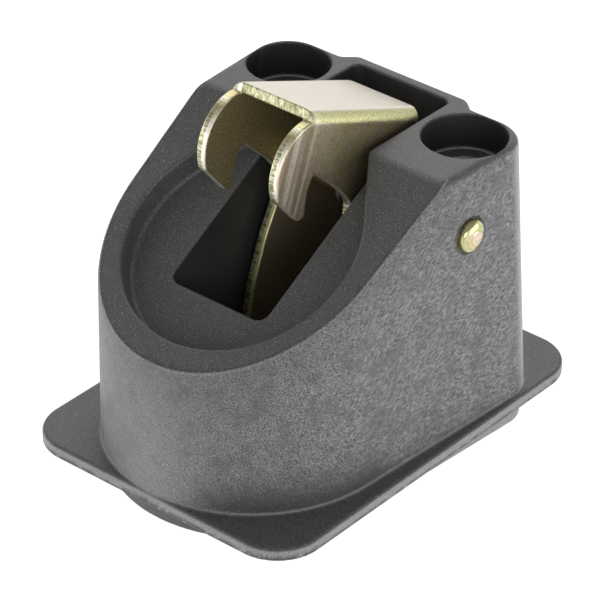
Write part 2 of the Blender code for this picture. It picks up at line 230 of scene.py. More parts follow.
def cover_field(x, y):
    """The base cover's plan: the pad's front with a tongue under the slot."""
    front = np.maximum(plan_field(x, y, PAD_PLAN) + COVER_INSET, y - COVER_REAR_Y)
    length = np.abs(y - TONGUE_MID_Y) - TONGUE_REAR_Y + TONGUE_MID_Y
    return np.minimum(front, np.maximum(np.abs(x) - TONGUE_HALF, length))


def housing_field(x, y, z):
    """The moulding: body, flange and pad, less the recess, slot, bores and the cover's seat."""
    body = both(body_field(x, y, z), z - HEIGHT, TOP_ROUND)
    body = both(body, BODY_FOOT - z, 0.1)
    body = both(body, ramp_height(y, z), RAMP_ROUND)
    flange = box_field(x, y, *FLANGE_HALF, FLANGE_CORNER)
    flange = both(flange, z - FLANGE_TOP, FLANGE_ROUND)
    flange = both(flange, PAD_DEPTH - z, FLANGE_UNDER_ROUND)
    body = either(body, flange, FOOT_FILLET)
    pad = np.maximum(both(plan_field(x, y, PAD_PLAN), -z, PAD_ROUND), z - PAD_DEPTH - 1)
    body = either(body, pad, PAD_FILLET)
    body = without(body, recess_field(x, y, z), RECESS_ROUND)
    body = without(body, slot_field(x, y), SLOT_ROUND)
    lug = np.maximum(np.abs(np.abs(x) - LUG_X) - LUG_HALF, np.abs(z - LUG_Z) - LUG_HALF_HEIGHT)
    lug = both(lug, LUG_FACE_Y - y, LUG_ROUND)
    body = np.minimum(body, np.maximum(lug, y - LUG_BACK_Y))
    away = from_hole(x, y)
    body = without(body, away - HOLE_RADIUS, HOLE_ROUND)
    bored = both(away - COUNTERBORE_RADIUS, COUNTERBORE_FLOOR - z, COUNTERBORE_FILLET)
    body = without(body, bored, COUNTERBORE_ROUND)
    body = without(body, np.maximum(cover_field(x, y), z - COVER_TOP - COVER_GAP), COVER_ROUND)
    for spot_x, spot_y in SCREW_SPOTS:
        pilot = np.hypot(x - spot_x, y - spot_y) - PILOT_RADIUS
        body = without(body, np.maximum(pilot, z - PILOT_TOP), 0.2)
    around = from_pin(y, z)
    body = without(body, around - PIN_BORE_RADIUS, 0.2)
    seat = both(around - SPOT_FACE_RADIUS, PIN_HEAD_FACE - SPOT_FACE_DEPTH - np.abs(x), 0.1)
    return without(body, seat, 0.25)


def arc(centre, radius, start, end, steps):
    """Points of an arc from one angle to another, both in degrees."""
    points = []
    for step in range(steps + 1):
        turn = math.radians(start + (end - start) * step / steps)
        points.append((centre[0] + radius * math.cos(turn), centre[1] + radius * math.sin(turn)))
    return points


def rounded(corners, steps):
    """A closed outline through (a, b, radius) corners, each rounded by a tangent arc."""
    points = []
    for index, (a, b, radius) in enumerate(corners):
        here = Vector((a, b))
        if radius == 0:
            points.append((a, b))
            continue
        back = (Vector(corners[index - 1][:2]) - here).normalized()
        ahead = (Vector(corners[(index + 1) % len(corners)][:2]) - here).normalized()
        half = back.angle(ahead) / 2
        centre = here + (back + ahead).normalized() * (radius / math.sin(half))
        start = here + back * (radius / math.tan(half)) - centre
        end = here + ahead * (radius / math.tan(half)) - centre
        angle = math.atan2(start.y, start.x)
        sweep = math.atan2(start.x * end.y - start.y * end.x, start.dot(end))
        for step in range(steps + 1):
            turn = angle + sweep * step / steps
            points.append((centre.x + radius * math.cos(turn), centre.y + radius * math.sin(turn)))
    return points


def web_point(along, down=0.0):
    """The (y, z) of a point of the claw's web, from its front corner along and down."""
    y = WEB_FRONT[0] + along * math.cos(WEB_SLOPE) - down * math.sin(WEB_SLOPE)
    z = WEB_FRONT[1] - along * math.sin(WEB_SLOPE) - down * math.cos(WEB_SLOPE)
    return (y, z)


def claw_outline():
    """The side view of the claw: nose, mouth, waist, tail and heel, in (y, z)."""
    nose = arc((-11.9, 75.1), 11.3, 197, 88, steps=24)
    lower = rounded([(*nose[0], 0), (-16.3, 64.2, 1.2), (-14.3, 64.4, 0.5), (-13.4, 70.1, 3),
                     (-11.0, 73.9, 1.2), (-2.2, 65.6, 4), (1.6, 60.8, 3), (0.6, 53.5, 6),
                     (-3.2, 46.5, 12), (-7.3, 35.8, 20), (-11.3, 16.1, 3.5), (1.0, 16.1, 3.5),
                     (12.0, 26.5, 8), (25.0, 33.5, 4), (25.0, 56.0, 12),
                     (*web_point(WEB_LENGTH - 1.0, 6.0), 0)], steps=8)
    neck = web_point(0.0, 1.2)
    top = [web_point(WEB_LENGTH, 3.0), web_point(WEB_LENGTH), web_point(0.0), neck]
    return nose + list(reversed(top)) + list(reversed(lower[1:]))


CLAW_OUTLINE = np.array(claw_outline())


def outline_field(y, z, points):
    """Signed distance to a closed polygon, inside negative."""
    shape = np.broadcast(y, z).shape
    y, z = np.broadcast_to(y, shape), np.broadcast_to(z, shape)
    nearest = np.full(shape, 1e9)
    inside = np.zeros(shape, bool)
    for a, b in zip(points, np.roll(points, -1, axis=0)):
        edge = b - a
        if not edge.any():
            continue
        share = np.clip(((y - a[0]) * edge[0] + (z - a[1]) * edge[1]) / (edge @ edge), 0, 1)
        away = (y - a[0] - share * edge[0]) ** 2 + (z - a[1] - share * edge[1]) ** 2
        nearest = np.minimum(nearest, away)
        if a[1] != b[1]:
            level = a[0] + (z - a[1]) * (edge[0] / edge[1])
            inside ^= ((z < a[1]) != (z < b[1])) & (y < level)
    return np.where(inside, -1, 1) * np.sqrt(nearest)


def web_height(y, z):
    """Height over the web's top face, square to it."""
    return (y - WEB_FRONT[0]) * math.sin(WEB_SLOPE) + (z - WEB_FRONT[1]) * math.cos(WEB_SLOPE)


def web_along(y, z):
    """Distance behind the web's front edge, along its face."""
    return (y - WEB_FRONT[0]) * math.cos(WEB_SLOPE) - (z - WEB_FRONT[1]) * math.sin(WEB_SLOPE)


def claw_field(x, y, z):
    """The folded sheet: a channel with round bends, cut to its side view and bored for the pin."""
    side_x = np.abs(x)
    rise = web_height(y, z)
    sheet = both(side_x - CLAW_HALF, rise, BEND_RADIUS)
    sheet = both(sheet, outline_field(y, z, CLAW_OUTLINE), CUT_ROUND)
    inner = side_x - CLAW_HALF + SHEET
    below = np.minimum(rise + SHEET, web_along(y, z))
    sheet = without(sheet, both(inner, below, BEND_RADIUS - SHEET), 0.3)
    return without(sheet, from_pin(y, z) - PIN_BORE_RADIUS, 0.25)


# ---------------------------------------------------------------- zones of a surface

def near(value, reach):
    """1 where a distance is nothing, falling to 0 at that reach."""
    return smooth_step(1 - np.abs(value) / reach)


def housing_zones(points, normals):
    """How much of each surface kind the housing has at its vertices, and where shade and light are
    painted on its walls.
    """
    x, y, z = points.T
    outside = body_field(x, y, z)
    ramp = ramp_height(y, z)
    away = from_hole(x, y)
    over_floor = z - COUNTERBORE_FLOOR
    upright = smooth_step((0.62 - np.abs(normals[:, 2])) / 0.36)
    wall = upright * smooth_step((outside + 1.6) / 0.8)
    bored = (away < COUNTERBORE_RADIUS + 0.4) & (over_floor > -0.2)
    drilled = (away < HOLE_RADIUS + 0.5) & (over_floor < 0)
    hollow = upright * ((slot_field(x, y) < 0.4) | bored | drilled)
    edge = (ramp > -1.3) & (outside > -1.3)
    # Painted highlight along the ramp's edge, standing in for a thin flash ridge, with a painted
    # shade line just below it.
    rim_highlight = near(outside - ramp, 0.4) * edge
    groove_shade = near(outside - ramp + 0.55, 0.3) * edge
    # Painted highlights: along the fillet at the body's foot, and rings at the counterbore's floor
    # and round the hole's edge.
    foot_highlight = near(z - FLANGE_TOP - 0.35, 0.45) * (np.abs(outside) < 0.8)
    ring = near(away - COUNTERBORE_RADIUS + 0.3, 0.35) + near(away - HOLE_RADIUS - 0.4, 0.4)
    ring = ring * (np.abs(over_floor) < 0.5)
    flash = near(z - PAD_DEPTH - 0.45, 0.5) * (outside > 0.2)
    # Painted highlight on the upright roundings of the rear corners.
    heel = smooth_step(2 * np.abs(normals[:, 0] * normals[:, 1])) * wall
    heel = heel * (y > 24) * (z > FLANGE_TOP) * (np.abs(x) > 27)
    # Painted light: the flange's sides and the pad, which sit low in shade, are lightened.
    pad = wall * (z < FLANGE_TOP - 0.3)
    body = wall * (z > FLANGE_TOP)
    # Painted shade: the front's walls darken low down where they face right, and all walls darken
    # a little just under the ramp's edge.
    front = smooth_step((-y - 8) / 12)
    aside = normals[:, 0]
    shade = smooth_step(1 - (z - FLANGE_TOP) / 12) * smooth_step((aside - 0.2) / 0.4) * front
    shade = np.maximum(shade, 0.30 * smooth_step(1 + ramp / 18)) * body
    # Painted light: the front's walls lighten low down where they face left.
    painted_light = smooth_step((0.45 - aside) / 0.5) * smooth_step((aside + 0.85) / 0.4)
    painted_light = painted_light * smooth_step(1.2 - (z - FLANGE_TOP) / 42) * front * body
    return {"wall": wall, "hollow": hollow, "rim_highlight": np.clip(rim_highlight, 0, 1), "foot_highlight": foot_highlight,
            "ring": np.clip(ring, 0, 1), "flash": flash, "heel": heel, "pad": pad,
            "groove_shade": groove_shade, "shade": shade, "painted_light": painted_light}


def claw_zones(points, normals):
    """Which of the claw's vertices lie on its web's top, on cut edges and inside the channel."""
    x, y, z = points.T
    level = normals[:, 1] * math.sin(WEB_SLOPE) + normals[:, 2] * math.cos(WEB_SLOPE)
    rise = web_height(y, z)
    side = smooth_step((np.abs(normals[:, 0]) - 0.35) / 0.3)
    web = smooth_step((level - 0.75) / 0.22) * (rise > -1.0)
    under = smooth_step((-level - 0.3) / 0.4) * (np.abs(rise + SHEET) < 1.0)
    cut = (1 - side) * (1 - smooth_step((level - 0.3) / 0.4)) * (1 - under)
    across = np.where(x > 0, x - CLAW_HALF + SHEET, x + CLAW_HALF) / SHEET
    band = (np.abs(x) < CLAW_HALF - SHEET) & (rise > -SHEET - 0.6)
    across = np.where(band, 0.35, np.clip(across, 0, 1))
    inner = side * (np.sign(normals[:, 0]) != np.sign(x))
    bend = smooth_step((level + 0.04) / 0.50) * (1 - web) * (1 - cut) * (1 - inner)
    return {"web": web, "cut": cut, "across": across, "inner": inner, "bend": bend,
            "band": band.astype(float)}


# ---------------------------------------------------------------- meshes

CUBE = [(i, j, k) for i in (0, 1) for j in (0, 1) for k in (0, 1)]


def crossing_points(values, cells):
    """For each cell that the surface passes, the mean of the places where it crosses an edge."""
    total = np.zeros((len(cells), 3))
    hits = np.zeros(len(cells))
    for start in CUBE:
        for axis in range(3):
            if start[axis]:
                continue
            end = np.array(start)
            end[axis] = 1
            a = values[tuple((cells + start).T)]
            b = values[tuple((cells + end).T)]
            crossed = (a < 0) != (b < 0)
            share = np.where(crossed, a / np.where(crossed, a - b, 1), 0)
            spot = np.array(start) + share[:, None] * (end - np.array(start))
            total += spot * crossed[:, None]
            hits += crossed
    return cells + total / hits[:, None]


def joining_quads(inside, index):
    """A quad through the four cells round each grid edge that the surface crosses."""
    quads = []
    for axis in range(3):
        first, second = (axis + 1) % 3, (axis + 2) % 3
        view = np.moveaxis(inside, (axis, first, second), (0, 1, 2))
        look = np.moveaxis(index, (axis, first, second), (0, 1, 2))
        lower, upper = view[:-1, 1:-1, 1:-1], view[1:, 1:-1, 1:-1]
        change = lower != upper
        ring = [look[:, :-1, :-1], look[:, 1:, :-1], look[:, 1:, 1:], look[:, :-1, 1:]]
        faces = np.stack([part[change] for part in ring], axis=1)
        out = lower[change]
        faces[~out] = faces[~out][:, ::-1]
        quads.append(faces)
    return np.concatenate(quads)


def skin(field, low, high, cell):
    """Points and quads over a field's zero surface, with each point moved onto it."""
    axes = [np.arange(a - 2 * cell, b + 3 * cell, cell) for a, b in zip(low, high)]
    values = field(axes[0][:, None, None], axes[1][None, :, None], axes[2][None, None, :])
    values = np.ascontiguousarray(values, dtype=np.float32)
    inside = values < 0
    size = [length - 1 for length in values.shape]
    filled = np.zeros(size, np.int8)
    for i, j, k in CUBE:
        filled += inside[i:i + size[0], j:j + size[1], k:k + size[2]]
    mixed = (filled > 0) & (filled < len(CUBE))
    cells = np.argwhere(mixed)
    index = np.full(size, -1, np.int32)
    index[mixed] = np.arange(len(cells))
    points = crossing_points(values, cells) * cell + np.array([axis[0] for axis in axes])
    for _ in range(4):
        points -= step_to_surface(field, points)
    return points, joining_quads(inside, index)


def slope_of(field, points, reach=0.02):
    """The field's gradient at points."""
    slope = np.zeros_like(points)
    for axis in range(3):
        shift = np.zeros(3)
        shift[axis] = reach
        slope[:, axis] = (field(*(points + shift).T) - field(*(points - shift).T)) / (2 * reach)
    return slope


def step_to_surface(field, points):
    """The step from each point towards the field's zero surface, kept short."""
    slope = slope_of(field, points)
    size = np.maximum((slope ** 2).sum(1), 0.3)
    return slope * (np.clip(field(*points.T), -0.4, 0.4) / size)[:, None]


def as_object(name, points, faces):
    """A mesh object in metres from millimetre points and equal-length faces."""
    mesh = bpy.data.meshes.new(name)
    mesh.vertices.add(len(points))
    mesh.vertices.foreach_set("co", (np.asarray(points) * MM).astype(np.float32).ravel())
    corner = faces.shape[1]
    mesh.loops.add(faces.size)
    mesh.loops.foreach_set("vertex_index", faces.astype(np.int32).ravel())
    mesh.polygons.add(len(faces))
    mesh.polygons.foreach_set("loop_start", np.arange(0, faces.size, corner, dtype=np.int32))
    mesh.update(calc_edges=True)
    mesh.validate()
    mesh.shade_smooth()
    made = bpy.data.objects.new(name, mesh)
    bpy.context.scene.collection.objects.link(made)
    return made


def bake_modifiers(item):
    """Put the modified mesh in place of the plain one."""
    graph = bpy.context.evaluated_depsgraph_get()
    mesh = bpy.data.meshes.new_from_object(item.evaluated_get(graph))
    item.modifiers.clear()
    old = item.data
    item.data = mesh
    bpy.data.meshes.remove(old)


def skinned(name, field, zones, low, high, cell, keep):
    """A thinned mesh over a field: flat parts hold few triangles and roundings hold many."""
    points, faces = skin(field, low, high, cell)
    made = as_object(name, points, faces)
    thin = made.modifiers.new("thin", "DECIMATE")
    thin.ratio = min(1.0, keep / (2 * len(faces)))
    bake_modifiers(made)
    count = len(made.data.vertices)
    places = np.empty(count * 3)
    made.data.vertices.foreach_get("co", places)
    places = places.reshape(-1, 3) / MM
    for _ in range(2):
        places -= step_to_surface(field, places)
    places = np.clip(places, low, high)
    made.data.vertices.foreach_set("co", (places * MM).astype(np.float32).ravel())
    made.data.update()
    normals = slope_of(field, places)
    normals /= np.maximum(np.linalg.norm(normals, axis=1), 1e-6)[:, None]
    for zone, values in zones(places, normals).items():
        mark = made.data.attributes.new(zone, "FLOAT", "POINT")
        mark.data.foreach_set("value", values.astype(np.float32))
    weigh = made.modifiers.new("weigh", "WEIGHTED_NORMAL")
    weigh.weight = 80
    weigh.keep_sharp = False
    return made


def turned(name, profile, centre, sides=64):
    """A body of revolution about a line along X through centre (y, z), from (x, radius) points."""
    bm = bmesh.new()
    rings = []
    for x, radius in profile:
        if radius == 0:
            rings.append([bm.verts.new((x * MM, centre[0] * MM, centre[1] * MM))])
            continue
        circle = arc(centre, radius, 0, 360 - 360 / sides, sides - 1)
        rings.append([bm.verts.new((x * MM, y * MM, z * MM)) for y, z in circle])
    for first, second in zip(rings, rings[1:]):
        for index in range(sides):
            after = (index + 1) % sides
            if len(first) == 1:
                bm.faces.new((first[0], second[after], second[index]))
            elif len(second) == 1:
                bm.faces.new((first[index], first[after], second[0]))
            else:
                bm.faces.new((first[index], first[after], second[after], second[index]))
    return from_bmesh(name, bm)


def from_bmesh(name, bm):
    """A mesh object whose edges over SHARP_ANGLE stay sharp."""
    bmesh.ops.recalc_face_normals(bm, faces=bm.faces)
    mesh = bpy.data.meshes.new(name)
    bm.to_mesh(mesh)
    bm.free()
    mesh.shade_smooth()
    mesh.set_sharp_from_angle(angle=SHARP_ANGLE)
    made = bpy.data.objects.new(name, mesh)
    bpy.context.scene.collection.objects.link(made)
    return made


def dress(item, body, node, material):
    """Hang a piece on its body, in place of its CAD node, with its material."""
    item.data.materials.clear()
    item.data.materials.append(material)
    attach(item, body)
    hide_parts(node)


# ---------------------------------------------------------------- node helpers

class Shader:
    """A Principled material whose nodes are made by short calls."""

    def __init__(self, name, colour, roughness, metallic=0.0, specular=0.5):
        """A new material with those constant values and object coordinates to hand."""
        self.made = bpy.data.materials.new(name)
        self.made.use_nodes = True
        self.tree = self.made.node_tree
        self.out = self.tree.nodes["Principled BSDF"]
        self.out.inputs["Base Color"].default_value = (*colour, 1)
        self.out.inputs["Roughness"].default_value = roughness
        self.out.inputs["Metallic"].default_value = metallic
        self.out.inputs["Specular IOR Level"].default_value = specular
        self.place = self.node("ShaderNodeTexCoord")

    def node(self, kind, **values):
        """A new node with those properties."""
        made = self.tree.nodes.new(kind)
        for key, value in values.items():
            setattr(made, key, value)
        return made

    def plug(self, value, socket):
        """Link a socket, or set a value, into a socket."""
        if isinstance(value, bpy.types.NodeSocket):
            self.tree.links.new(value, socket)
        elif value is not None:
            socket.default_value = value

    def math(self, operation, a, b=None, c=None):
        """One sum with up to three numbers or sockets."""
        made = self.node("ShaderNodeMath", operation=operation)
        for socket, value in zip(made.inputs, (a, b, c)):
            self.plug(value, socket)
        return made.outputs[0]

    def zone(self, name):
        """A surface kind that was marked on the mesh."""
        return self.node("ShaderNodeAttribute", attribute_name=name).outputs["Fac"]

    def spot(self, scale=(1, 1, 1), turn=(0, 0, 0)):
        """Object coordinates in millimetres, turned in degrees and then scaled."""
        turned_place = self.node("ShaderNodeMapping", vector_type="POINT")
        self.plug(self.place.outputs["Object"], turned_place.inputs["Vector"])
        turned_place.inputs["Rotation"].default_value = [math.radians(a) for a in turn]
        scaled = self.node("ShaderNodeVectorMath", operation="MULTIPLY")
        self.plug(turned_place.outputs[0], scaled.inputs[0])
        scaled.inputs[1].default_value = [1000 * s for s in scale]
        return scaled.outputs[0]

    def noise(self, where, size, detail=3.0, rough=0.55, distort=0.0):
        """Noise with features about that many millimetres across."""
        made = self.node("ShaderNodeTexNoise")
        self.plug(where, made.inputs["Vector"])
        made.inputs["Scale"].default_value = 1.0 / size
        made.inputs["Detail"].default_value = detail
        made.inputs["Roughness"].default_value = rough
        made.inputs["Distortion"].default_value = distort
        return made.outputs[0]

    def cells(self, where, size):
        """Distance to the nearest of scattered points about that many millimetres apart."""
        made = self.node("ShaderNodeTexVoronoi")
        self.plug(where, made.inputs["Vector"])
        made.inputs["Scale"].default_value = 1.0 / size
        return made.outputs["Distance"]

    def span(self, value, low, high, to_low=0.0, to_high=1.0):
        """A value between two limits, eased on to two others."""
        made = self.node("ShaderNodeMapRange", interpolation_type="SMOOTHSTEP")
        self.plug(value, made.inputs[0])
        for socket, number in zip(made.inputs[1:5], (low, high, to_low, to_high)):
            self.plug(number, socket)
        return made.outputs[0]

    def mix(self, share, a, b):
        """Colour a turned into colour b by a share."""
        made = self.node("ShaderNodeMix", data_type="RGBA")
        self.plug(share, made.inputs["Factor"])
        for value, name in ((a, "A"), (b, "B")):
            socket = next(s for s in made.inputs if s.name == name and s.type == "RGBA")
            self.plug((*value, 1) if isinstance(value, tuple) else value, socket)
        return next(s for s in made.outputs if s.type == "RGBA")

    def ramp(self, value, stops):
        """Colours along a value, from (place, colour) stops."""
        made = self.node("ShaderNodeValToRGB")
        self.plug(value, made.inputs[0])
        line = made.color_ramp
        while len(line.elements) < len(stops):
            line.elements.new(0.5)
        for element, (place, colour) in zip(line.elements, stops):
            element.position = place
            element.color = (*colour, 1)
        return made.outputs[0]

    def split(self, vector):
        """The x, y and z sockets of a vector, in metres where it is a place."""
        made = self.node("ShaderNodeSeparateXYZ")
        self.plug(vector, made.inputs[0])
        return made.outputs

    def bump(self, height, distance, strength=1.0, under=None):
        """Bump of that many millimetres from a height between 0 and 1."""
        made = self.node("ShaderNodeBump")
        made.inputs["Strength"].default_value = strength
        made.inputs["Distance"].default_value = distance * MM
        self.plug(height, made.inputs["Height"])
        if under is not None:
            self.plug(under, made.inputs["Normal"])
        return made.outputs[0]

    def set(self, **values):
        """Plug the Principled node's sockets and give back the material."""
        for key, value in values.items():
            self.plug(value, self.out.inputs[key.replace("_", " ")])
        return self.made


def grey(value):
    """A neutral colour, a touch cool."""
    return (value, value, value * 1.015)


def wall_tone(shader, grain, scratch):
    """Fibrous walls: streaks, dark scratches and blotches, with painted shade low down and under
    the ramp's edge, and painted light low on the front's left.
    """
    blotch = shader.noise(shader.spot(), 5.0, 4.0, 0.6)
    tone = shader.mix(shader.span(grain, 0.41, 0.59), grey(0.036), grey(0.262))
    tone = shader.mix(shader.span(scratch, 0.56, 0.64, 0.0, 0.75), tone, grey(0.026))
    tone = shader.mix(shader.span(blotch, 0.46, 0.64, 0.0, 0.50), tone, grey(0.062))
    # Painted shade low down and under the ramp's edge, then painted light low on the front's left.
    tone = shader.mix(shader.math("MULTIPLY", shader.zone("shade"), 0.9), tone, grey(0.036))
    return shader.mix(shader.math("MULTIPLY", shader.zone("painted_light"), 0.35), tone, grey(0.260))


def top_tone(shader, fine):
    """The finer ramp and tops, with a few pale rubs."""
    rub = shader.noise(shader.spot((1.0, 0.15, 1.0), (30, 0, 24)), 0.28, 2.0, 0.5)
    tone = shader.mix(shader.span(fine, 0.40, 0.60), grey(0.036), grey(0.096))
    return shader.mix(shader.span(rub, 0.60, 0.70, 0.0, 0.55), tone, grey(0.150))


def moulded_plastic():
    """Black glass-filled nylon: fibrous walls, a finer sloping face, painted shade in the hollows,
    painted highlights along edges and fillets.
    """
    shader = Shader("moulded_glass_filled_nylon", grey(0.07), 0.42, 0.0, 0.5)
    plain = shader.spot()
    grain = shader.noise(shader.spot((2.2, 0.28, 1.3), (-15, 0, 0)), 0.34, 4.0, 0.72)
    scratch = shader.noise(shader.spot((1.6, 0.20, 1.0), (-28, 8, 0)), 0.26, 2.0, 0.5)
    fine = shader.noise(plain, 0.24, 3.0, 0.70)
    wall = shader.zone("wall")
    top = shader.math("SUBTRACT", 1.0, wall)

    # The upright walls are coloured much lighter than the tops: partly their coarser fibrous
    # grain, partly painted light for the light that falls on the sides.
    tone = shader.mix(wall, top_tone(shader, fine), wall_tone(shader, grain, scratch))
    z = shader.split(shader.place.outputs["Object"])[2]
    # Painted shade: the walls of the slot, bores and holes are darkened, more the lower they go.
    hollow_shade_tone = shader.mix(shader.span(z, 0.030, 0.055), grey(0.060), grey(0.024))
    tone = shader.mix(shader.zone("hollow"), tone, hollow_shade_tone)
    # Painted shade: a dark line just below the ramp's edge.
    tone = shader.mix(shader.math("MULTIPLY", shader.zone("groove_shade"), 0.8), tone, grey(0.016))
    # Painted highlights on the ramp's edge, the rear corners, the body's foot fillet and the
    # counterbore's rings, and painted light on the flange's sides and pad, each broken up by the
    # fine grain.
    broken = shader.span(fine, 0.38, 0.60, 0.30, 1.0)
    for zone, shade in (("rim_highlight", 0.300), ("heel", 0.450), ("foot_highlight", 0.200), ("ring", 0.600),
                        ("pad", 0.280)):
        tone = shader.mix(shader.math("MULTIPLY", shader.zone(zone), broken), tone, grey(shade))
    torn = shader.span(shader.noise(plain, 2.2, 4.0, 0.7), 0.36, 0.52)
    tone = shader.mix(shader.math("MULTIPLY", shader.zone("flash"), torn), tone, grey(0.010))
    dots = shader.span(shader.cells(plain, 1.9), 0.03, 0.08, 0.90, 0.0)
    dust = shader.span(shader.cells(plain, 0.7), 0.08, 0.20, 0.55, 0.0)
    # Painted shade: the pale specks are mostly hidden in the hollows.
    lit = shader.math("MULTIPLY_ADD", shader.zone("hollow"), -0.9, 1.0)
    specks = shader.math("MULTIPLY", shader.math("MAXIMUM", dots, dust), lit)
    tone = shader.mix(specks, tone, grey(0.36))

    rough = shader.math("MULTIPLY_ADD", wall, -0.08, shader.span(fine, 0.25, 0.75, 0.45, 0.56))
    deep = shader.bump(shader.math("MULTIPLY", grain, wall), 0.20, 0.9)
    cuts = shader.bump(shader.math("MULTIPLY", scratch, wall), 0.07, 0.6, deep)
    skin_bump = shader.bump(shader.math("MULTIPLY_ADD", top, fine, 0.3), 0.07, 0.8, cuts)
    return shader.set(Base_Color=tone, Roughness=rough, Normal=skin_bump)


def cheek_tone(shader, y, mottle, coarse):
    """The cheeks' film in olive and mauve, pale at the nose, with painted shade darkening it
    towards the rear, where the tail sits down in the slot.
    """
    patches = shader.noise(shader.spot(), 6.0, 4.0, 0.6, 0.6)
    film = shader.ramp(patches, [(0.32, (0.46, 0.50, 0.23)), (0.43, (0.58, 0.50, 0.26)),
                                 (0.52, (0.54, 0.41, 0.31)), (0.60, (0.58, 0.44, 0.38)),
                                 (0.70, (0.50, 0.52, 0.25))])
    # Painted shade: the colour darkens towards the rear of the claw.
    tint = shader.ramp(shader.span(y, -0.016, 0.016), [
        (0.0, (0.66, 0.53, 0.45)), (0.25, (0.50, 0.42, 0.31)), (0.45, (0.30, 0.26, 0.14)),
        (1.0, (0.19, 0.14, 0.08))])
    tone = shader.mix(0.55, film, tint)
    tone = shader.mix(shader.span(coarse, 0.46, 0.66, 0.0, 0.40), tone, (0.20, 0.19, 0.07))
    tone = shader.mix(shader.span(mottle, 0.52, 0.60, 0.0, 0.50), tone, (0.70, 0.64, 0.40))
    return shader.mix(shader.span(mottle, 0.36, 0.48, 0.40, 0.0), tone, (0.14, 0.12, 0.05))


def with_bends(shader, tone, mottle, coarse):
    """The folds' greener film, ragged where it gives way to the cheeks."""
    bend = shader.mix(shader.span(mottle, 0.40, 0.60), (0.40, 0.42, 0.14), (0.70, 0.66, 0.40))
    bend = shader.mix(shader.span(coarse, 0.50, 0.66, 0.0, 0.5), bend, (0.62, 0.46, 0.38))
    ragged = shader.math("MULTIPLY_ADD", shader.math("SUBTRACT", mottle, 0.5), 1.6,
                         shader.zone("bend"))
    return shader.mix(shader.span(ragged, 0.15, 0.65), tone, bend)


def with_drawn_lines(shader, tone, mottle, drawn, nose):
    """Pale and dark lines that the press drew down the nose."""
    lines = shader.math("MULTIPLY", shader.span(drawn, 0.53, 0.60), nose)
    lines = shader.math("MULTIPLY", lines, shader.span(mottle, 0.3, 0.6, 0.35, 0.9))
    tone = shader.mix(shader.math("MULTIPLY", lines, 0.9), tone, (0.90, 0.88, 0.72))
    dark_lines = shader.math("MULTIPLY", shader.span(drawn, 0.42, 0.50, 0.55, 0.0), nose)
    return shader.mix(dark_lines, tone, (0.34, 0.27, 0.17))


def cut_tone(shader, shear, low):
    """A sheared edge: dull over the torn part of the sheet, with a painted highlight along the
    side that faces right.
    """
    dull = shader.mix(shader.span(shear, 0.38, 0.60), (0.22, 0.21, 0.10), (0.62, 0.60, 0.40))
    # Painted highlight: each strip is lit along the side that faces right.
    bright = shader.mix(low, (0.94, 0.92, 0.46), (0.90, 0.86, 0.76))
    edge_line = shader.math("MULTIPLY_ADD", shear, 0.5, shader.zone("across"))
    return shader.mix(shader.span(edge_line, 0.74, 0.88), dull, bright)


def passivated_steel():
    """Pressed sheet, zinc plated and yellow passivated: olive and mauve over a pale metal."""
    shader = Shader("yellow_passivated_steel", (0.46, 0.42, 0.26), 0.38, 0.87)
    y, z = shader.split(shader.place.outputs["Object"])[1:3]
    plain = shader.spot()
    mottle = shader.noise(plain, 0.42, 4.0, 0.75)
    coarse = shader.noise(plain, 1.6, 4.0, 0.7)
    drawn = shader.noise(shader.spot((0.0, 1.0, 0.035), (20, 0, 0)), 1.7, 2.0, 0.5)
    nose = shader.span(y, -0.012, -0.007, 1.0, 0.0)
    low = shader.span(z, 0.050, 0.058)

    tone = cheek_tone(shader, y, mottle, coarse)
    tone = with_bends(shader, tone, mottle, coarse)
    tone = with_drawn_lines(shader, tone, mottle, drawn, nose)
    dim = shader.mix(shader.span(mottle, 0.40, 0.60), (0.36, 0.29, 0.15), (0.68, 0.59, 0.34))
    tone = shader.mix(shader.zone("inner"), tone, shader.mix(low, (0.74, 0.64, 0.46), dim))
    web = shader.zone("web")
    # The web's top face is coloured paler and greyer than the cheeks.
    web_top_tone = shader.mix(shader.span(coarse, 0.3, 0.7), (0.585, 0.535, 0.445), (0.62, 0.57, 0.49))
    tone = shader.mix(web, tone, web_top_tone)
    cut = shader.zone("cut")
    along_x = shader.noise(shader.spot((0.25, 1.0, 1.0)), 0.50, 3.0, 0.7)
    along_z = shader.noise(shader.spot((1.0, 0.25, 0.25)), 0.50, 3.0, 0.7)
    turn = shader.math("MULTIPLY", shader.zone("band"), shader.math("SUBTRACT", along_z, along_x))
    shear = shader.math("ADD", turn, along_x)
    tone = shader.mix(cut, tone, cut_tone(shader, shear, low))

    rough = shader.span(mottle, 0.3, 0.7, 0.32, 0.44)
    rough = shader.math("MULTIPLY_ADD", web, -0.05, rough)
    skin_bump = shader.bump(mottle, 0.020, 0.5)
    drawn_bump = shader.bump(shader.math("MULTIPLY", drawn, nose), 0.05, 0.4, skin_bump)
    torn = shader.bump(shader.math("MULTIPLY", shear, cut), 0.14, 0.7, drawn_bump)
    return shader.set(Base_Color=tone, Roughness=rough, Normal=torn)


def plated(name, colour, tint, roughness):
    """Plated metal with slight clouds of colour and fine scratches."""
    shader = Shader(name, colour, roughness, 1.0)
    plain = shader.spot()
    cloud = shader.noise(plain, 1.2, 4.0, 0.6)
    tone = shader.mix(shader.span(cloud, 0.35, 0.65), colour, tint)
    rough = shader.span(cloud, 0.3, 0.7, roughness * 0.7, roughness * 1.4)
    scratch = shader.noise(shader.spot((1, 0.1, 1), (0, 35, 20)), 0.25, 2.0, 0.5)
    bent = shader.bump(scratch, 0.008, 0.5, shader.bump(cloud, 0.02, 0.4))
    return shader.set(Base_Color=tone, Roughness=rough, Normal=bent)


